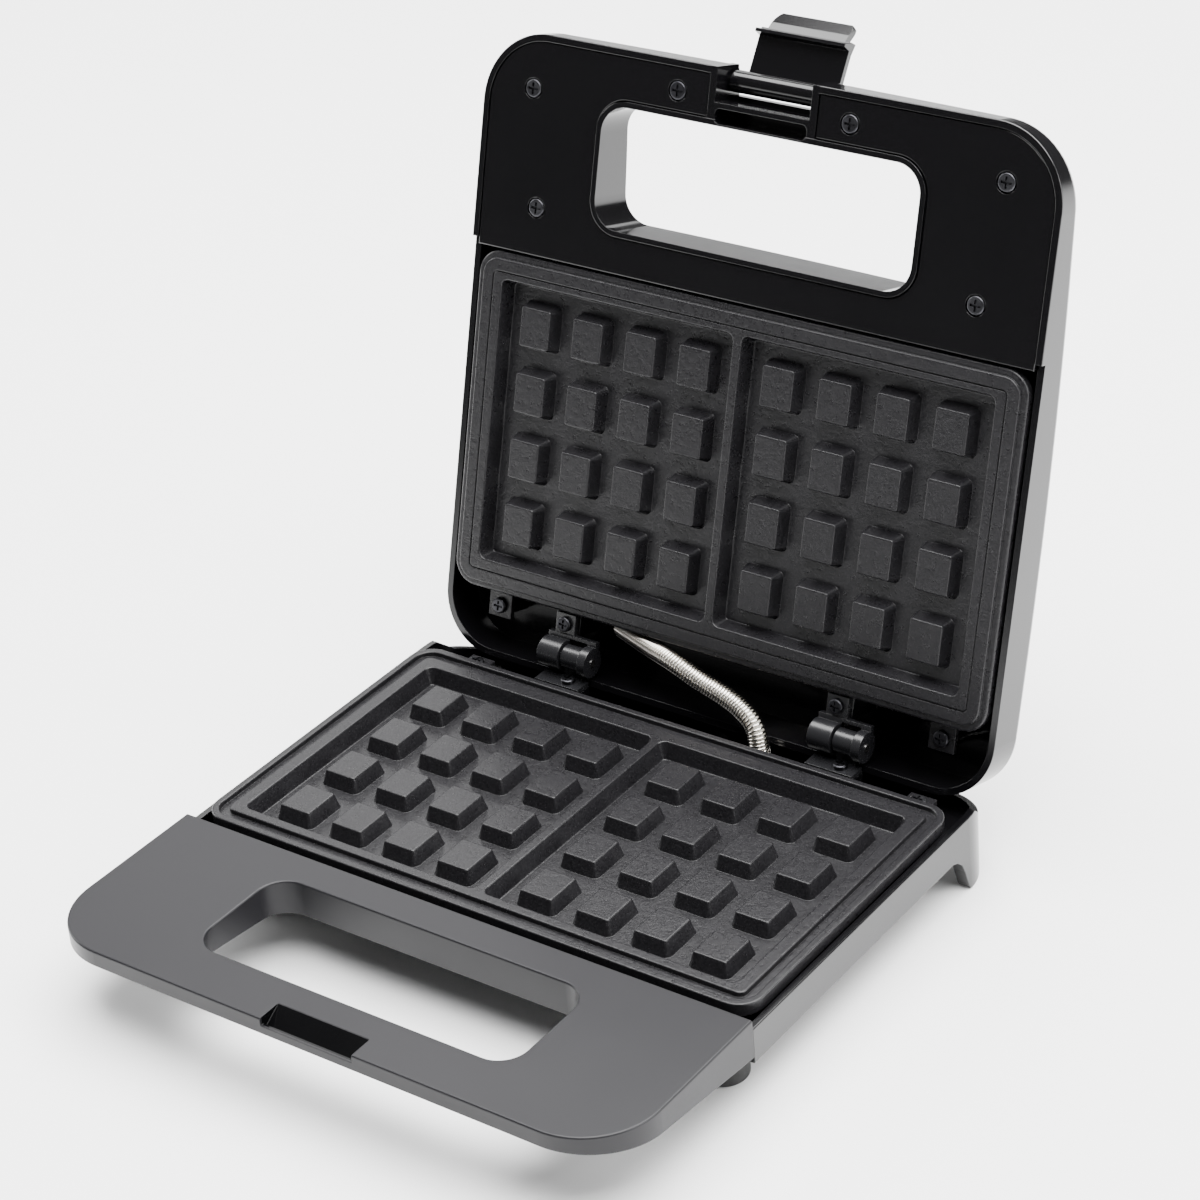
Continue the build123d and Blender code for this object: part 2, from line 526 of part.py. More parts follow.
def element_pins():
    z = PARTING_Z - SPLIT_GAP - ELEMENT_DEPTH
    length = 8
    pin = Rot(90, 0, 0) * Cylinder(LEAD_RADIUS, length)
    return Compound([Pos(side * COLD_END_X, ELEMENT_END_Y + length / 2, z) * pin for side in (-1, 1)])


def reflector():
    """Thin tray of bright sheet under the heater."""
    z = PARTING_Z - SPLIT_GAP - REFLECTOR_DEPTH
    outer = Pos(0, BELLY_MID_Y) * RectangleRounded(REFLECTOR_WIDTH, REFLECTOR_LENGTH, 8)
    inner = Pos(0, BELLY_MID_Y) * RectangleRounded(
        REFLECTOR_WIDTH - 2 * REFLECTOR_SHEET, REFLECTOR_LENGTH - 2 * REFLECTOR_SHEET, 8 - REFLECTOR_SHEET)
    tray = slab(outer, z - REFLECTOR_SHEET, z + 3) - slab(inner, z, z + 4)
    rear_y = BELLY_MID_Y + REFLECTOR_LENGTH / 2
    tray -= block(-14, 14, rear_y - 6, rear_y + 1, z - 2, z + 4)
    return tray - rod(0, THERMOSTAT_Y, 0, PARTING_Z, 16.5)


def element_clamps():
    """Bridges that hold the heater against the plate."""
    z = PARTING_Z - SPLIT_GAP - PLATE_DEPTH
    pieces = []
    for x in (-45, 45):
        y = ELEMENT_FRONT_Y
        bridge = block(x - 6, x + 6, y - 7, y + 7, z - 2 * ELEMENT_RADIUS - 0.9, z)
        groove = cross_rod(x - 7, x + 7, y, z - ELEMENT_RADIUS - 0.1, ELEMENT_RADIUS + 0.1)
        groove += block(x - 7, x + 7, y - ELEMENT_RADIUS - 0.1, y + ELEMENT_RADIUS + 0.1,
                        z - ELEMENT_RADIUS - 0.1, z + 1)
        pieces.append(bridge - groove)
    return Compound(pieces)


def plate_screw_seats(lift):
    """Places of the four screws of a plate, on its tabs."""
    return [(x, y, PARTING_Z + lift) for x in TAB_XS for y in TAB_YS]


# ---- hinges ------------------------------------------------------------------------------
def hinge_lid(x):
    """Lid half: two ears round the pin, joined by a bridge, with a screw tab in front."""
    z_tab = LID_HINGE_SEAT_Z
    ears = Part()
    for x0, x1 in ((x - 10.5, x - 1.5), (x + 7.1, x + 10.5)):
        ears += cross_rod(x0, x1, HINGE_Y, HINGE_Z, EAR_RADIUS)
    bridge = block(x - 8, x + 10.5, HINGE_Y - 7.4, HINGE_Y - 5.2, HINGE_Z + 1.2, z_tab)
    arms = Part()
    for x0, x1 in ((x - 10.5, x - 1.5), (x + 7.1, x + 10.5)):
        arms += block(x0, x1, HINGE_Y - 7.4, HINGE_Y - 2.0, HINGE_Z + 1.2, z_tab)
    tab = block(x - 8, x + 0.4, HINGE_Y - 15, HINGE_Y - 6, z_tab - 1.9, z_tab)
    body = ears + arms + bridge + tab
    body -= cross_rod(x - 12, x + 12, HINGE_Y, HINGE_Z, PIN_RADIUS + PIN_PLAY)
    body -= cross_rod(x - 1.2, x + 6.8, HINGE_Y, HINGE_Z, EAR_RADIUS + 0.6)
    return body - rod(x - 4, HINGE_Y - 11, 0, LID_TOP_Z, SCREW_HOLE + 0.2)


def hinge_base(x):
    """Base half: one barrel on a stout leg, with a foot plate screwed to the base."""
    barrel = cross_rod(x - 0.9, x + 6.5, HINGE_Y, HINGE_Z, BARREL_RADIUS)
    leg = block(x - 0.9, x + 6.5, HINGE_Y - 2.0, HINGE_Y + 1.4, BASE_HINGE_SEAT_Z + 1, HINGE_Z - 2)
    seat = BASE_HINGE_SEAT_Z
    foot_plate = block(x - 9.5, x + 9.5, HINGE_Y - 9, HINGE_Y - 2, seat, seat + 1.8)
    foot_plate += block(x - 0.9, x + 6.5, HINGE_Y - 2, HINGE_Y + 1.4, seat, seat + 1.8)
    body = barrel + leg + foot_plate
    body -= rod(x + 2.8, HINGE_Y - 5.3, 0, HINGE_Z - 2, SCREW_HOLE + 0.2)
    body -= cross_rod(x - 12, x + 12, HINGE_Y, HINGE_Z, PIN_RADIUS)
    return body


# ---- latch -------------------------------------------------------------------------------
def latch():
    """Clip on the lid's front: barrel, plate in front of the handles, hook and finger lip."""
    def at(y, z):
        return (LATCH_Y + y, LATCH_Z + z)

    profile = [at(-1.0, 3.7), at(-5.0, 3.2), at(-8.0, 0.6), at(-8.8, -3.5), at(-8.8, -17.0), at(-10.0, -21.5),
               at(-13.0, -26.4), at(-11.4, -27.6), at(-8.2, -23.4), at(-6.6, -20.6), at(-3.2, -19.8),
               at(-3.0, -18.6), at(-6.6, -18.0), at(-6.6, -4.6), at(-4.6, -2.6), at(-1.0, -3.7)]
    body = side_prism(profile, -LATCH_HALF_WIDTH, LATCH_HALF_WIDTH)
    body += cross_rod(-LATCH_HALF_WIDTH, LATCH_HALF_WIDTH, LATCH_Y, LATCH_Z, LATCH_BARREL)
    lip_trim = block(-30, 30, LATCH_Y - 16, LATCH_Y + 4, LATCH_Z - 30, LATCH_Z - LATCH_REACH)
    tongue = Plane.XZ * (Pos(0, LATCH_Z - 22) * RectangleRounded(2 * LATCH_HALF_WIDTH - 5, 14, 5))
    lip_trim -= Pos(0, LATCH_Y + 6, 0) * extrude(tongue, 30)
    body -= lip_trim
    return body - cross_rod(-30, 30, LATCH_Y, LATCH_Z, PIN_RADIUS + PIN_PLAY)


# ---- electrical parts ----------------------------------------------------------------------
def thermostat():
    """Disc thermostat in its ceramic ring, with two blade terminals."""
    z = PARTING_Z - SPLIT_GAP - PLATE_DEPTH
    body = rod(0, THERMOSTAT_Y, z - 5.5, z, 8) + rod(0, THERMOSTAT_Y, z - 9.0, z - 5.5, 6.5)
    for x in (-4.5, 4.5):
        body += block(x - 1.6, x + 1.6, THERMOSTAT_Y - 0.4, THERMOSTAT_Y + 0.4, z - 12.2, z - 9.0)
    return body


def thermostat_bracket():
    """Sprung strap that presses the thermostat against the plate."""
    z = BELLY_BOTTOM_Z + 5.5
    y_low = THERMOSTAT_Y - 8.5
    y_high = THERMOSTAT_Y + 8.5
    top_z = PARTING_Z - SPLIT_GAP - PLATE_DEPTH - 5.6
    strap = Part()
    for side in (-1, 1):
        x0, x1 = sorted((side * 12.8, side * (THERMOSTAT_X + 3.5)))
        strap += block(x0, x1, y_low, y_high, z, z + 0.8)
        x0, x1 = sorted((side * 12.8, side * 13.6))
        strap += block(x0, x1, y_low, y_high, z, top_z)
    strap += block(-13.6, 13.6, y_low, y_high, top_z - 0.8, top_z)
    strap -= rod(0, THERMOSTAT_Y, 0, PARTING_Z, 6.8)
    for x in (-THERMOSTAT_X, THERMOSTAT_X):
        strap -= rod(x, THERMOSTAT_Y, 0, PARTING_Z, SCREW_HOLE)
    return strap


def thermal_fuse():
    """Axial thermal cut-out in its sleeve."""
    y = BELLY_REAR_Y - 9
    body = cross_rod(24, 44, y, BELLY_BOTTOM_Z + 5.2, 2.2)
    return body + cross_rod(18, 50, y, BELLY_BOTTOM_Z + 5.2, 0.6)


def terminal_block():
    """Three-way block that joins the cord to the leads."""
    y = BELLY_REAR_Y - 9
    body = block(-40, -16, y - 5, y + 5, BELLY_BOTTOM_Z + FLOOR_SHEET, BELLY_BOTTOM_Z + 8.2)
    for x in (-36, -28, -20):
        body -= Pos(x, y, BELLY_BOTTOM_Z + 4.6) * Rot(90, 0, 0) * Cylinder(1.5, 12)
        body -= rod(x, y, BELLY_BOTTOM_Z + 6, BELLY_BOTTOM_Z + 9, 1.9)
    return body


def cord_gland():
    """Flanged bush that lines the cord inlet."""
    body = Pos(0, REAR_Y - 3.75, INLET_Z) * Rot(90, 0, 0) * Cylinder(GLAND_RADIUS, 7.5)
    body += Pos(0, REAR_Y - 0.1, INLET_Z) * Rot(90, 0, 0) * Cylinder(GLAND_RADIUS + 1.5, 1.6)
    return body - Pos(0, REAR_Y - 3, INLET_Z) * Rot(90, 0, 0) * Cylinder(CORD_BORE, 20)


def cord_clamp():
    """Bar that would grip the cord behind the gland."""
    z = INLET_Z + 3.9
    bar = block(-9.5, 9.5, REAR_Y - 19, REAR_Y - 13, z, z + 3)
    return bar - block(-3, 3, REAR_Y - 20, REAR_Y - 12, z - 1, z + 1)


def lead(points, bend):
    """Insulated wire along a routed path."""
    return swept(points, bend, LEAD_RADIUS)


def lower_leads():
    z = BELLY_BOTTOM_Z + 5.2
    y_pin = ELEMENT_END_Y + 8.5
    y_drop = y_pin + 3
    z_pin = PARTING_Z - SPLIT_GAP - ELEMENT_DEPTH
    tails = []
    for side in (-1, 1):
        x = side * COLD_END_X
        route_points = [(x, y_pin, z_pin), (x, y_drop, z_pin), (x, y_drop, z + 6), (x + side * 5, y_drop, z + 6)]
        tails.append(lead(route_points, 1.4))
    return Compound(tails)


def conduit_route():
    """Corners of the sprung conduit that carries the leads across the hinge, lid to base."""
    rows = ((-44, 15.0, 9.6), (-37, 11.5, 10.6), (-28, 7.5, 11.2), (-12.5, 1.2, 12.6), (-0.1, -0.6, 9.0),
            (9.4, -1.6, 7.2), (18.3, -3.0, 5.0), (25.6, -5.4, 2.0), (28.4, -6.7, -3.6), (29.0, -7.0, -11.5))
    return [(x, HINGE_Y + y, PARTING_Z + z) for x, y, z in rows]


def bend_radii(points, part=0.45):
    """Largest arc at each corner that the shorter run beside it leaves room for."""
    radii = []
    for before, here, after in zip(points, points[1:], points[2:]):
        run_in = Vector(*here) - Vector(*before)
        run_out = Vector(*after) - Vector(*here)
        turn = math.radians(run_in.get_angle(run_out))
        radii.append(part * min(run_in.length, run_out.length) / math.tan(turn / 2))
    return radii


def foot(x):
    """Rubber foot pushed on to its post."""
    body = rod(x, FOOT_Y, 0, FOOT_HEIGHT, FOOT_RADIUS)
    body = fillet(body.edges().group_by(Axis.Z)[0], 1.2)
    return body - rod(x, FOOT_Y, FOOT_HEIGHT - 2.5, FOOT_HEIGHT + 1, FOOT_RADIUS - 1.45)


def lens(x):
    """Indicator window let into the lid's roof."""
    foot_z = LAMP_ROOF_Z - 4.5
    return rod(x, LAMP_Y, foot_z, LAMP_ROOF_Z, LENS_RADIUS) + rod(x, LAMP_Y, foot_z, foot_z + 1.3, LENS_RADIUS + 1)


def lamp(x):
    """Neon lamp behind its window."""
    return rod(x, LAMP_Y, LAMP_ROOF_Z - 8.5, LAMP_ROOF_Z - 4.7, 1.8)


# ---- the assembly --------------------------------------------------------------------------
nodes["base_shell"] = base_shell()
nodes["base_handle_cover"] = base_handle_cover()
cover_seats = [(side * x, FRONT_Y + y, handle_bottom(FRONT_Y + y) + 1.0)
               for side in (-1, 1) for x, y in COVER_SCREWS if y > 13.0]
nodes["base_cover_screws"] = screws(cover_seats, 4.6, head_up=False)
nodes["lower_plate"] = Pos(0, 0, PARTING_Z - SPLIT_GAP) * plate((0, 0), [(2.6, 3.6, 1.8)], [])
nodes["lower_element"] = element()
nodes["lower_element_pins"] = element_pins()
nodes["lower_reflector"] = reflector()
nodes["lower_element_clamps"] = element_clamps()
nodes["lower_plate_screws"] = screws(
    plate_screw_seats(-SPLIT_GAP - TAB_DEPTH), PLATE_SCREW, head_radius=3.0)
nodes["thermostat"] = thermostat()
nodes["thermostat_bracket"] = thermostat_bracket()
nodes["thermostat_screws"] = screws(
    [(x, THERMOSTAT_Y, BELLY_BOTTOM_Z + 6.3) for x in (-THERMOSTAT_X, THERMOSTAT_X)], 2.5, head_radius=2.6)
nodes["thermal_fuse"] = thermal_fuse()
nodes["terminal_block"] = terminal_block()
nodes["cord_gland"] = cord_gland()
nodes["cord_clamp"] = cord_clamp()
nodes["front_foot_left"] = foot(-FOOT_X)
nodes["front_foot_right"] = foot(FOOT_X)
nodes["lower_leads"] = lower_leads()
for side, x in zip(("left", "right"), HINGE_XS):
    nodes["hinge_base_" + side] = hinge_base(x)
    nodes["hinge_lid_" + side] = opened(hinge_lid(x))
nodes["hinge_base_screws"] = screws(
    [(x + 2.8, HINGE_Y - 5.3, BASE_HINGE_SEAT_Z + 1.8) for x in HINGE_XS], 5, head_radius=2.7)
nodes["hinge_pins"] = Compound([cross_rod(x - 10.8, x + 10.8, HINGE_Y, HINGE_Z, PIN_RADIUS) for x in HINGE_XS])
route = conduit_route()
radii = bend_radii(route)
print("conduit bend radii:", [round(radius, 1) for radius in radii])
nodes["wire_conduit"] = swept(route, radii, CONDUIT_RADIUS)

nodes["lid_shell"] = opened(lid_shell())
nodes["lid_handle_cover"] = opened(lid_handle_cover())
lid_seats = [(side * x, FRONT_Y + y, PARTING_Z + 2.2) for side in (-1, 1) for x, y in COVER_SCREWS]
nodes["lid_cover_screws"] = opened(screws(lid_seats, 6.5, head_up=False))
nodes["upper_plate"] = opened(mirrored_z(Pos(0, 0, PARTING_Z - SPLIT_GAP) * plate(
    (2.6, 1.1), [], [(7.0, 0.6, 0.6)])))
nodes["upper_element"] = opened(mirrored_z(element()))
nodes["upper_element_pins"] = opened(mirrored_z(element_pins()))
nodes["upper_reflector"] = opened(mirrored_z(reflector()))
nodes["upper_element_clamps"] = opened(mirrored_z(element_clamps()))
nodes["upper_plate_screws"] = opened(screws(
    plate_screw_seats(SPLIT_GAP + TAB_DEPTH), PLATE_SCREW, head_up=False, head_radius=3.0))
nodes["hinge_lid_screws"] = opened(screws(
    [(x - 4, HINGE_Y - 11, LID_HINGE_SEAT_Z - 1.9) for x in HINGE_XS], 6.5, head_up=False, head_radius=2.8))
nodes["power_lens"] = opened(lens(LAMP_XS[0]))
nodes["ready_lens"] = opened(lens(LAMP_XS[1]))
nodes["indicator_lamps"] = opened(Compound([lamp(x) for x in LAMP_XS]))
pin_reach = BAY_HALF_WIDTH + 1.5
nodes["latch_pin"] = opened(cross_rod(-pin_reach, pin_reach, LATCH_Y, LATCH_Z, PIN_RADIUS))
nodes["latch"] = opened(unlatched(latch()))

os.makedirs("parts", exist_ok=True)
for name, shape in nodes.items():
    shape.label = name
    export_step(shape, f"parts/{name}.step")

boxes = [shape.bounding_box() for shape in nodes.values()]
low = [min(getattr(box.min, axis) for box in boxes) for axis in "XYZ"]
high = [max(getattr(box.max, axis) for box in boxes) for axis in "XYZ"]
print("box", [round(value, 2) for value in low], [round(value, 2) for value in high])
print("middle of box in Y:", round((low[1] + high[1]) / 2, 3))
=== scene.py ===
"""Looks for the two-slice waffle maker: camera, studio, materials and the wound conduit."""

import json
import math

import bpy
from mathutils import Matrix, Vector


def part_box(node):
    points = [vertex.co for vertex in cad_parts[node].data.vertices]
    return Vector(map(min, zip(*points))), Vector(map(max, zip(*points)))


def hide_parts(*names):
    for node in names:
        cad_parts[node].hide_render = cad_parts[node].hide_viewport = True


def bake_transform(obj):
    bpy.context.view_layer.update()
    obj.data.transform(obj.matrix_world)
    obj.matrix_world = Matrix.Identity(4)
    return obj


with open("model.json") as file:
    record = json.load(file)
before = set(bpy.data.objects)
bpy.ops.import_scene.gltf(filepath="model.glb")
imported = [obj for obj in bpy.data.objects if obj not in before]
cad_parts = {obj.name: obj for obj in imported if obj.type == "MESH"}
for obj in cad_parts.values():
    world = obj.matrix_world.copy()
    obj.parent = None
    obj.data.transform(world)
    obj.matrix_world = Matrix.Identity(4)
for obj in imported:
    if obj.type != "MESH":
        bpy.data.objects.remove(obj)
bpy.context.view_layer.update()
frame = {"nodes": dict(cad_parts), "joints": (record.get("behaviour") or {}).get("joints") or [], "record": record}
nodes = frame["nodes"]
joints = {joint["name"]: joint for joint in frame["joints"]}


# ---- places taken from the frame, in metres ------------------------------------------------
MM = 0.001
HINGE = Vector(joints["lid_hinge"]["pos_m"])
COVER_LOW, COVER_HIGH = (Vector(corner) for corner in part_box("base_handle_cover"))
# box inside the catch notch of the base's cover, where painted shade darkens the satin colour to near-black
CATCH_HALF_WIDTH = 18.6 * MM
CATCH_FRONT = 0.8 * MM      # behind the cover's front face
CATCH_BACK = 9.6 * MM       # behind the cover's front face
CATCH_TOP = 0.2 * MM        # under the cover's top face
CATCH_PAINTED_SHADE_BOX = ((-CATCH_HALF_WIDTH, COVER_LOW.y + CATCH_FRONT, COVER_LOW.z),
             (CATCH_HALF_WIDTH, COVER_LOW.y + CATCH_BACK, COVER_HIGH.z - CATCH_TOP))


# ---- camera --------------------------------------------------------------------------------
CAMERA_AZIMUTH = 37.93      # degrees, as are the next two
CAMERA_ELEVATION = 29.98
CAMERA_ROLL = -4.96
CAMERA_DISTANCE = 1.12025
CAMERA_TARGET = (0.00128, 0.00473, 0.11209)
CAMERA_LENS = 101.61
CAMERA_SENSOR = 36
CAMERA_SHIFT = (0.00585, -0.01478)


def add_camera():
    """Camera at the photograph's viewing angle."""
    angles = (CAMERA_AZIMUTH, CAMERA_ELEVATION, CAMERA_ROLL)
    azimuth, elevation, roll = (math.radians(angle) for angle in angles)
    back = Vector((math.sin(azimuth) * math.cos(elevation),
                   -math.cos(azimuth) * math.cos(elevation), math.sin(elevation)))
    right = (-back).cross(Vector((0, 0, 1))).normalized()
    up = right.cross(-back)
    turned_right = right * math.cos(roll) + up * math.sin(roll)
    turned_up = up * math.cos(roll) - right * math.sin(roll)
    data = bpy.data.cameras.new("camera")
    data.lens = CAMERA_LENS
    data.sensor_width = CAMERA_SENSOR
    data.shift_x, data.shift_y = CAMERA_SHIFT
    camera = bpy.data.objects.new("camera", data)
    place = Matrix((turned_right, turned_up, back)).transposed().to_4x4()
    place.translation = Vector(CAMERA_TARGET) + back * CAMERA_DISTANCE
    camera.matrix_world = place
    bpy.context.scene.collection.objects.link(camera)
    bpy.context.scene.camera = camera


# ---- node helpers --------------------------------------------------------------------------
MIX_FIRST, MIX_SECOND, MIX_RESULT = 6, 7, 2     # the Mix node's colour sockets
BEVEL_SAMPLES = 6


class Shader:
    """A material's node tree with short helpers for the nodes used here."""

    def __init__(self, name):
        self.material = bpy.data.materials.new(name)
        self.material.use_nodes = True
        self.tree = self.material.node_tree
        self.surface = self.tree.nodes["Principled BSDF"]

    def node(self, kind, inputs=None, **settings):
        """New node with its inputs linked or set."""
        made = self.tree.nodes.new(kind)
        for key, value in settings.items():
            setattr(made, key, value)
        for key, value in (inputs or {}).items():
            self.give(made.inputs[key], value)
        return made

    def give(self, socket, value):
        """Link a socket to another one, or set its value."""
        if isinstance(value, bpy.types.NodeSocket):
            self.tree.links.new(value, socket)
        else:
            socket.default_value = value

    def set(self, **values):
        """Inputs of the surface shader, with underscores for spaces."""
        for key, value in values.items():
            self.give(self.surface.inputs[key.replace("_", " ")], value)

    def coords(self):
        return self.node("ShaderNodeTexCoord").outputs["Object"]

    def noise(self, scale, detail=2.0, roughness=0.5, vector=None):
        inputs = {"Vector": vector or self.coords(), "Scale": scale,
                  "Detail": detail, "Roughness": roughness}
        return self.node("ShaderNodeTexNoise", inputs).outputs["Fac"]

    def cells(self, scale, vector):
        """Distance from the centres of scattered cells."""
        inputs = {"Vector": vector, "Scale": scale}
        return self.node("ShaderNodeTexVoronoi", inputs).outputs["Distance"]

    def span(self, value, low_in, high_in, low_out, high_out):
        """One range of values carried over to another."""
        inputs = {"Value": value, "From Min": low_in, "From Max": high_in,
                  "To Min": low_out, "To Max": high_out}
        return self.node("ShaderNodeMapRange", inputs).outputs["Result"]

    def mix(self, factor, first, second):
        """Blend of two colours."""
        made = self.node("ShaderNodeMix", data_type="RGBA")
        self.give(made.inputs["Factor"], factor)
        self.give(made.inputs[MIX_FIRST], first)
        self.give(made.inputs[MIX_SECOND], second)
        return made.outputs[MIX_RESULT]

    def math(self, operation, first, second):
        made = self.node("ShaderNodeMath", operation=operation)
        self.give(made.inputs[0], first)
        self.give(made.inputs[1], second)
        return made.outputs[0]

    def bump(self, height, strength, distance, normal=None):
        inputs = {"Height": height, "Strength": strength, "Distance": distance}
        if normal:
            inputs["Normal"] = normal
        return self.node("ShaderNodeBump", inputs).outputs["Normal"]

    def worn_edges(self, radius):
        """Normal that rounds every sharp edge a little, as a mould or a casting does."""
        bevel = self.node("ShaderNodeBevel", {"Radius": radius}, samples=BEVEL_SAMPLES)
        return bevel.outputs["Normal"]

    def inside(self, low, high):
        """1 inside a box of the object's own space, 0 outside it."""
        axes = self.node("ShaderNodeSeparateXYZ", {"Vector": self.coords()}).outputs
        result = 1.0
        for axis, bottom, top in zip(axes, low, high):
            above = self.math("GREATER_THAN", axis, bottom)
            below = self.math("LESS_THAN", axis, top)
            result = self.math("MULTIPLY", result, self.math("MULTIPLY", above, below))
        return result


def rgba(red, green, blue):
    return (red, green, blue, 1.0)


def scaled(colour, factor, lift=0.0):
    """A colour made darker or lighter, no brighter than white."""
    return rgba(*(min(1.0, part * factor + lift) for part in colour))


# ---- materials -----------------------------------------------------------------------------
PLASTIC_EDGE = 0.35 * MM        # radius that the shading gives to an edge
CASTING_EDGE = 0.45 * MM
FLOW_BUMP = 0.02                # strength of the waves in moulded plastic
# near-black painted shade for the inside of the catch notch, and the gloss given there
PAINTED_SHADE_COLOUR = (0.0015, 0.0015, 0.0017)
CATCH_ROUGHNESS = 0.12
PLASTIC_IOR = 1.5
LENS_IOR = 1.49
# noise scales, in cells to the metre
FLOW, SCRATCHES, DUST = 18.0, 900.0, 420.0
GRAIN, SPRAY, CLOUD, FLECKS = 1500.0, 420.0, 26.0, 1250.0
DRAWN_STREAKS, MOTTLE = 300.0, 60.0
RIPPLE = 700.0


def moulded_plastic(name, colour, roughness, specular=0.5, painted_shade_box=None):
    """Moulded ABS: faint flow waviness, fine scratches in the gloss and a little dust. Inside an optional box the
    colour is painted near-black as painted shade, with more gloss.
    """
    s = Shader(name)
    coords = s.coords()
    flow = s.noise(FLOW, 3.0, 0.55, coords)
    fine = s.noise(SCRATCHES, 2.0, 0.5, coords)
    specks = s.span(s.cells(DUST, coords), 0.0, 0.055, 1.0, 0.0)
    base = s.mix(s.math("MULTIPLY", specks, 0.3), rgba(*colour), scaled(colour, 2.2, 0.01))
    rough = s.span(s.math("ADD", flow, s.math("MULTIPLY", fine, 0.35)), 0.4, 1.0,
                   roughness * 0.85, roughness * 1.25)
    # painted shade: inside the box the colour turns near-black and the roughness moves to CATCH_ROUGHNESS
    if painted_shade_box:
        painted_shade_mask = s.inside(*painted_shade_box)
        base = s.mix(painted_shade_mask, base, rgba(*PAINTED_SHADE_COLOUR))
        rough = s.math("ADD", rough, s.math("MULTIPLY", painted_shade_mask, CATCH_ROUGHNESS - roughness))
    s.set(Base_Color=base, Roughness=rough, Specular_IOR_Level=specular, IOR=PLASTIC_IOR)
    soft = s.bump(flow, FLOW_BUMP, 0.002, s.worn_edges(PLASTIC_EDGE))
    s.set(Normal=s.bump(fine, FLOW_BUMP * 0.6, 0.0002, soft))
    return s.material


def nonstick(name, dark, light):
    """Cast aluminium under a sprayed non-stick coat: pebbled, with fine mica flecks."""
    s = Shader(name)
    coords = s.coords()
    grain = s.noise(GRAIN, 3.0, 0.62, coords)
    spray = s.noise(SPRAY, 4.0, 0.6, coords)
    cloud = s.noise(CLOUD, 2.0, 0.5, coords)
    fleck = s.span(s.cells(FLECKS, coords), 0.0, 0.20, 1.0, 0.0)
    tone = s.mix(s.span(grain, 0.3, 0.75, 0.0, 1.0), rgba(*dark), rgba(*light))
    s.set(Base_Color=s.mix(s.math("MULTIPLY", fleck, 0.55), tone, scaled(light, 3.2, 0.05)))
    uneven = s.math("ADD", spray, s.math("MULTIPLY", cloud, 0.5))
    s.set(Roughness=s.span(uneven, 0.4, 1.1, 0.22, 0.38))
    s.set(Metallic=0.0, IOR=PLASTIC_IOR, Specular_IOR_Level=0.30)
    pebbles = s.bump(spray, 0.22, 0.0006, s.worn_edges(CASTING_EDGE))
    s.set(Normal=s.bump(grain, 0.30, 0.00025, pebbles))
    return s.material


def metal(name, colour, roughness, tint, streak=1.0):
    """Bare metal with drawn streaks and mottled roughness."""
    s = Shader(name)
    stretch = s.node("ShaderNodeMapping", {"Vector": s.coords(), "Scale": (1.0, streak, streak)})
    streaks = s.noise(DRAWN_STREAKS, 3.0, 0.6, stretch.outputs["Vector"])
    cloud = s.noise(MOTTLE, 2.0, 0.5)
    s.set(Base_Color=s.mix(s.span(cloud, 0.35, 0.7, 0.0, 1.0), rgba(*colour), rgba(*tint)))
    s.set(Metallic=1.0, Roughness=s.span(streaks, 0.3, 0.7, roughness * 0.8, roughness * 1.3))
    s.set(Normal=s.bump(streaks, 0.05, 0.0002))
    return s.material


def plain(name, colour, roughness, scale=500.0, bump=0.1):
    """Matt moulding, rubber or ceramic with a fine tooth."""
    s = Shader(name)
    tooth = s.noise(scale, 3.0, 0.6)
    s.set(Base_Color=s.mix(s.span(tooth, 0.35, 0.7, 0.0, 1.0), rgba(*colour), scaled(colour, 0.8)))
    s.set(Roughness=s.span(tooth, 0.3, 0.7, roughness * 0.9, min(1.0, roughness * 1.1)))
    s.set(Normal=s.bump(tooth, bump, 0.0003))
    return s.material


def window(name, colour):
    """Clear tinted lens with a faintly hammered inside."""
    s = Shader(name)
    ripple = s.noise(RIPPLE, 1.0)
    s.set(Base_Color=rgba(*colour), Transmission_Weight=0.85, IOR=LENS_IOR)
    s.set(Roughness=s.span(ripple, 0.3, 0.7, 0.05, 0.14), Normal=s.bump(ripple, 0.2, 0.0004))
    return s.material


# one material for each slot in the record, and base_top for the satin cover of the base, with painted shade inside
# its catch notch
MATERIALS = {
    "housing": moulded_plastic("black_gloss", (0.0022, 0.0021, 0.0025), 0.14, specular=0.42),
    "base_top": moulded_plastic("charcoal_satin", (0.0095, 0.0092, 0.0106), 0.34,
                                specular=0.24, painted_shade_box=CATCH_PAINTED_SHADE_BOX),
    "cooking_plate": nonstick("nonstick_coat", (0.0035, 0.0033, 0.0039), (0.014, 0.0135, 0.015)),
    "screws": metal("black_zinc", (0.06, 0.06, 0.065), 0.34, (0.03, 0.03, 0.034)),
    "heater": metal("tinted_sheath", (0.30, 0.28, 0.26), 0.38, (0.20, 0.16, 0.13)),
    "bright_metal": metal("bright_steel", (0.62, 0.61, 0.60), 0.22, (0.50, 0.49, 0.48), streak=12.0),
    "ceramic": plain("glazed_ceramic", (0.72, 0.70, 0.64), 0.35),
    "dark_plastic": plain("matt_black", (0.018, 0.018, 0.019), 0.55),
    "foot_rubber": plain("foot_rubber", (0.014, 0.014, 0.014), 0.75, scale=350.0, bump=0.25),
    "wire": plain("glass_sleeve", (0.62, 0.60, 0.54), 0.8, scale=1800.0, bump=0.4),
    "hinge_black": moulded_plastic("satin_black", (0.008, 0.008, 0.009), 0.26),
    "conduit": metal("spring_steel", (0.80, 0.77, 0.72), 0.16, (0.66, 0.62, 0.57)),
    "power_window": window("red_window", (0.75, 0.03, 0.02)),
    "ready_window": window("green_window", (0.04, 0.55, 0.08)),
    "lamp_glass": window("lamp_glass", (0.9, 0.75, 0.6)),
}
SATIN_NODE = "base_handle_cover"


def dress_nodes():
    """Every CAD node gets the material of its slot in the record."""
    for entry in frame["record"]["subparts"]:
        node = nodes[entry["node"]]
        key = "base_top" if entry["node"] == SATIN_NODE else entry["material_slot"]
        node.data.materials.clear()
        node.data.materials.append(MATERIALS[key])


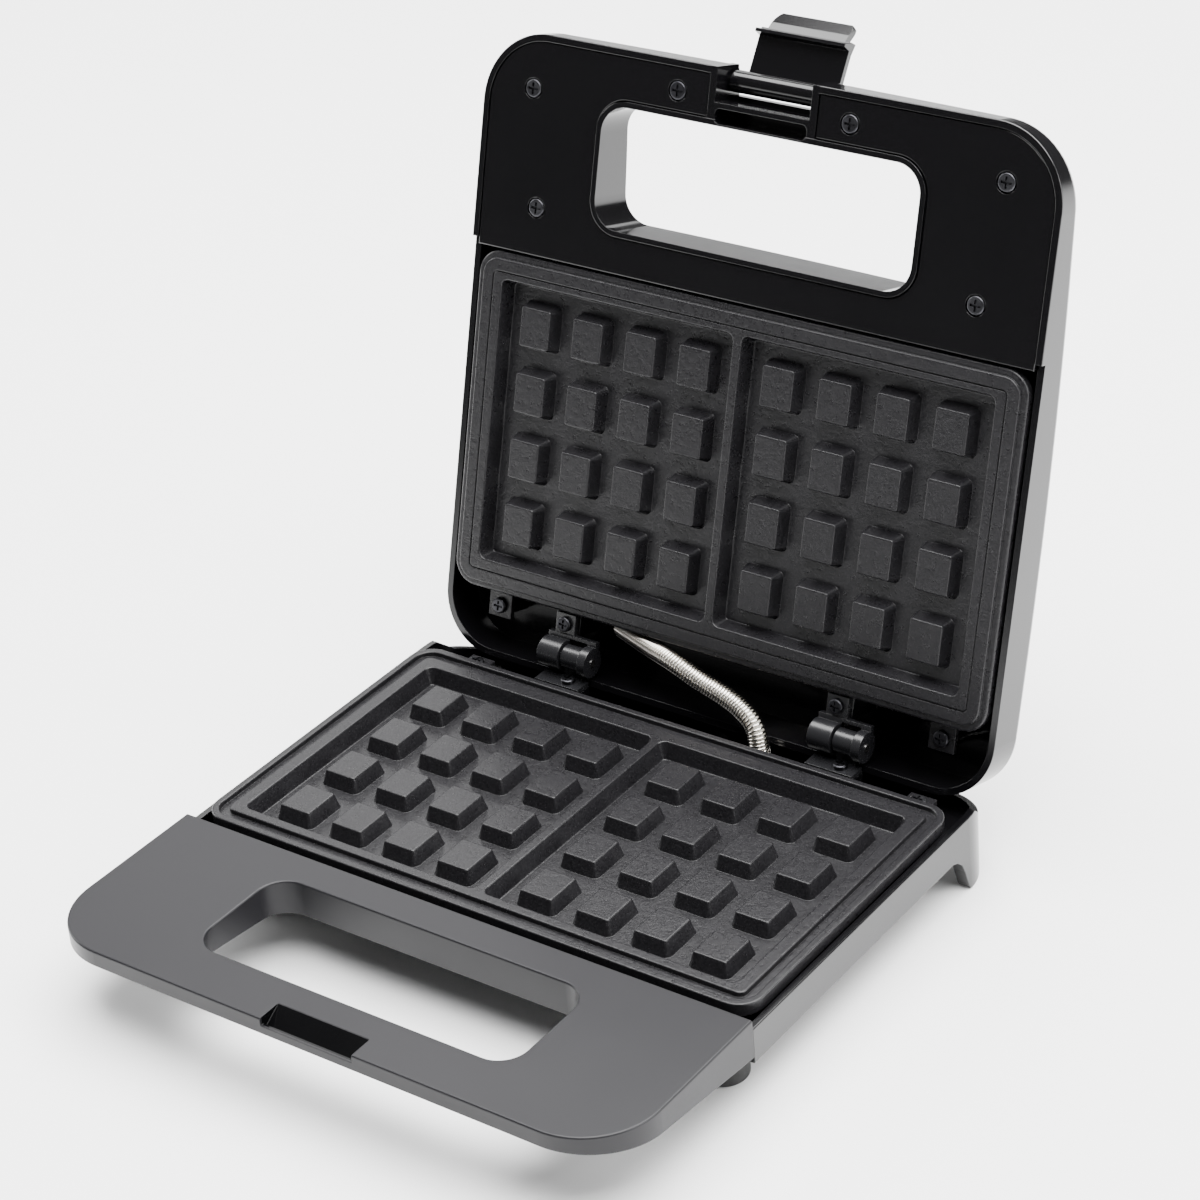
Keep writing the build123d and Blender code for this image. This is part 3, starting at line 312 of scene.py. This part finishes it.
# ---- sprung conduit ------------------------------------------------------------------------
CONDUIT_RADIUS = 3.7 * MM
CONDUIT_WIRE = 0.46 * MM
CONDUIT_PITCH = 1.2 * MM
CONDUIT_STEPS = 18          # points in each turn of the spring
WIRE_SIDES = 8
HINGE_RISE = 1.6 * MM       # hinge axis above the parting plane
CURVE_STEPS = 24            # points to each span of the route
# corners of the route from lid to base, in mm: x, y from the hinge axis, z from the parting plane
CONDUIT_ROUTE = (
    (-44, 15.0, 9.6), (-37, 11.5, 10.6), (-28, 7.5, 11.2), (-12.5, 1.2, 12.6), (-0.1, -0.6, 9.0),
    (9.4, -1.6, 7.2), (18.3, -3.0, 5.0), (25.6, -5.4, 2.0), (28.4, -6.7, -3.6), (29.0, -7.0, -11.5))


def conduit_path():
    """Smooth centre line of the conduit."""
    curve = bpy.data.curves.new("conduit_path", "CURVE")
    curve.dimensions = "3D"
    curve.resolution_u = CURVE_STEPS
    spline = curve.splines.new("NURBS")
    spline.points.add(len(CONDUIT_ROUTE) - 1)
    for point, (x, y, z) in zip(spline.points, CONDUIT_ROUTE):
        point.co = (x * MM, HINGE.y + y * MM, HINGE.z - HINGE_RISE + z * MM, 1.0)
    spline.order_u = 3
    spline.use_endpoint_u = True
    holder = bpy.data.objects.new("conduit_path", curve)
    mesh = bpy.data.meshes.new_from_object(holder)
    points = [vertex.co.copy() for vertex in mesh.vertices]
    bpy.data.objects.remove(holder)
    bpy.data.meshes.remove(mesh)
    return points


def frames_along(points, step):
    """Places at even steps along a line, each with two directions across it that don't twist."""
    places = []
    across = (points[1] - points[0]).orthogonal().normalized()
    travelled = 0.0
    for first, second in zip(points, points[1:]):
        run = second - first
        direction = run.normalized()
        across = (across - direction * across.dot(direction)).normalized()
        while travelled < run.length:
            places.append((first + direction * travelled, across.copy(), direction.cross(across)))
            travelled += step
        travelled -= run.length
    return places


def round_about(place, first, second, turn, radius):
    """Point at a part of a full turn round a place, in the plane of two directions."""
    angle = 2 * math.pi * turn
    return place + (first * math.cos(angle) + second * math.sin(angle)) * radius


def wire_mesh(name, line, radius, sides):
    """Round wire along a closely sampled line, closed at both ends."""
    verts = []
    faces = []
    side = (line[1] - line[0]).orthogonal()
    for index, place in enumerate(line):
        ahead = (line[min(index + 1, len(line) - 1)] - line[max(index - 1, 0)]).normalized()
        side = (side - ahead * side.dot(ahead)).normalized()
        other = ahead.cross(side)
        for corner in range(sides):
            verts.append(round_about(place, side, other, corner / sides, radius))
    for ring in range(len(line) - 1):
        for corner in range(sides):
            following = (corner + 1) % sides
            faces.append((ring * sides + corner, ring * sides + following,
                          (ring + 1) * sides + following, (ring + 1) * sides + corner))
    faces.append(tuple(reversed(range(sides))))
    faces.append(tuple(range(len(verts) - sides, len(verts))))
    mesh = bpy.data.meshes.new(name)
    mesh.from_pydata([tuple(vert) for vert in verts], [], faces)
    mesh.update()
    for polygon in mesh.polygons:
        polygon.use_smooth = True
    piece = bpy.data.objects.new(name, mesh)
    bpy.context.scene.collection.objects.link(piece)
    return piece


def add_conduit():
    """Tightly wound spring round the leads that cross the hinge."""
    places = frames_along(conduit_path(), CONDUIT_PITCH / CONDUIT_STEPS)
    reach = CONDUIT_RADIUS - CONDUIT_WIRE
    coil = [round_about(place, first, second, index / CONDUIT_STEPS, reach)
            for index, (place, first, second) in enumerate(places)]
    spring = wire_mesh("sprung_conduit", coil, CONDUIT_WIRE, WIRE_SIDES)
    middle = [place for place, _, _ in places[::CONDUIT_STEPS]]
    core = wire_mesh("conduit_leads", middle, reach - CONDUIT_WIRE, 2 * WIRE_SIDES)
    spring.data.materials.append(MATERIALS["conduit"])
    core.data.materials.append(MATERIALS["wire"])
    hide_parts("wire_conduit")
    # both pieces have their placing baked into their meshes
    for piece in (spring, core):
        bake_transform(piece)


# ---- studio --------------------------------------------------------------------------------
FLOOR_RADIUS = 4.0
FLOOR_SIDES = 96
FLOOR_DROP = 0.2 * MM       # clear of the feet
FLOOR_COLOUR = (0.86, 0.86, 0.86)
WORLD_STRENGTH = 0.16
# name, place, point it faces, size in metres, watts
SOFTBOXES = (
    ("top_softbox", (0.15, 0.25, 1.9), (0, 0, 0.05), (2.8, 2.2), 300),
    ("right_softbox", (1.9, 0.5, 0.8), (0, 0, 0.1), (1.8, 1.2), 55),
    ("back_softbox", (-1.3, 1.9, 1.35), (0, 0, 0.1), (2.0, 1.3), 24),
    ("left_softbox", (-1.9, -0.1, 0.9), (0, 0, 0.15), (0.9, 0.9), 26),
)


def add_floor():
    """Plain pale floor."""
    s = Shader("studio_floor")
    s.set(Base_Color=rgba(*FLOOR_COLOUR), Roughness=s.span(s.noise(3.0), 0.3, 0.7, 0.75, 0.85))
    bpy.ops.mesh.primitive_circle_add(vertices=FLOOR_SIDES, radius=FLOOR_RADIUS,
                                      fill_type="NGON", location=(0, 0, -FLOOR_DROP))
    floor = bpy.context.object
    floor.name = "studio_floor"
    floor.data.materials.append(s.material)


def add_light(name, place, aim, size, power):
    """Soft rectangular light that faces a point."""
    data = bpy.data.lights.new(name, "AREA")
    data.shape = "RECTANGLE"
    data.size, data.size_y = size
    data.energy = power
    light = bpy.data.objects.new(name, data)
    light.location = place
    light.rotation_euler = (Vector(aim) - Vector(place)).to_track_quat("-Z", "Y").to_euler()
    bpy.context.scene.collection.objects.link(light)


def add_studio():
    """Floor, even pale surroundings and the soft lights."""
    add_floor()
    world = bpy.data.worlds.new("studio_world")
    bpy.context.scene.world = world
    world.use_nodes = True
    background = world.node_tree.nodes["Background"]
    background.inputs["Color"].default_value = rgba(1.0, 1.0, 1.0)
    background.inputs["Strength"].default_value = WORLD_STRENGTH
    for softbox in SOFTBOXES:
        add_light(*softbox)


add_camera()
add_studio()
dress_nodes()
add_conduit()
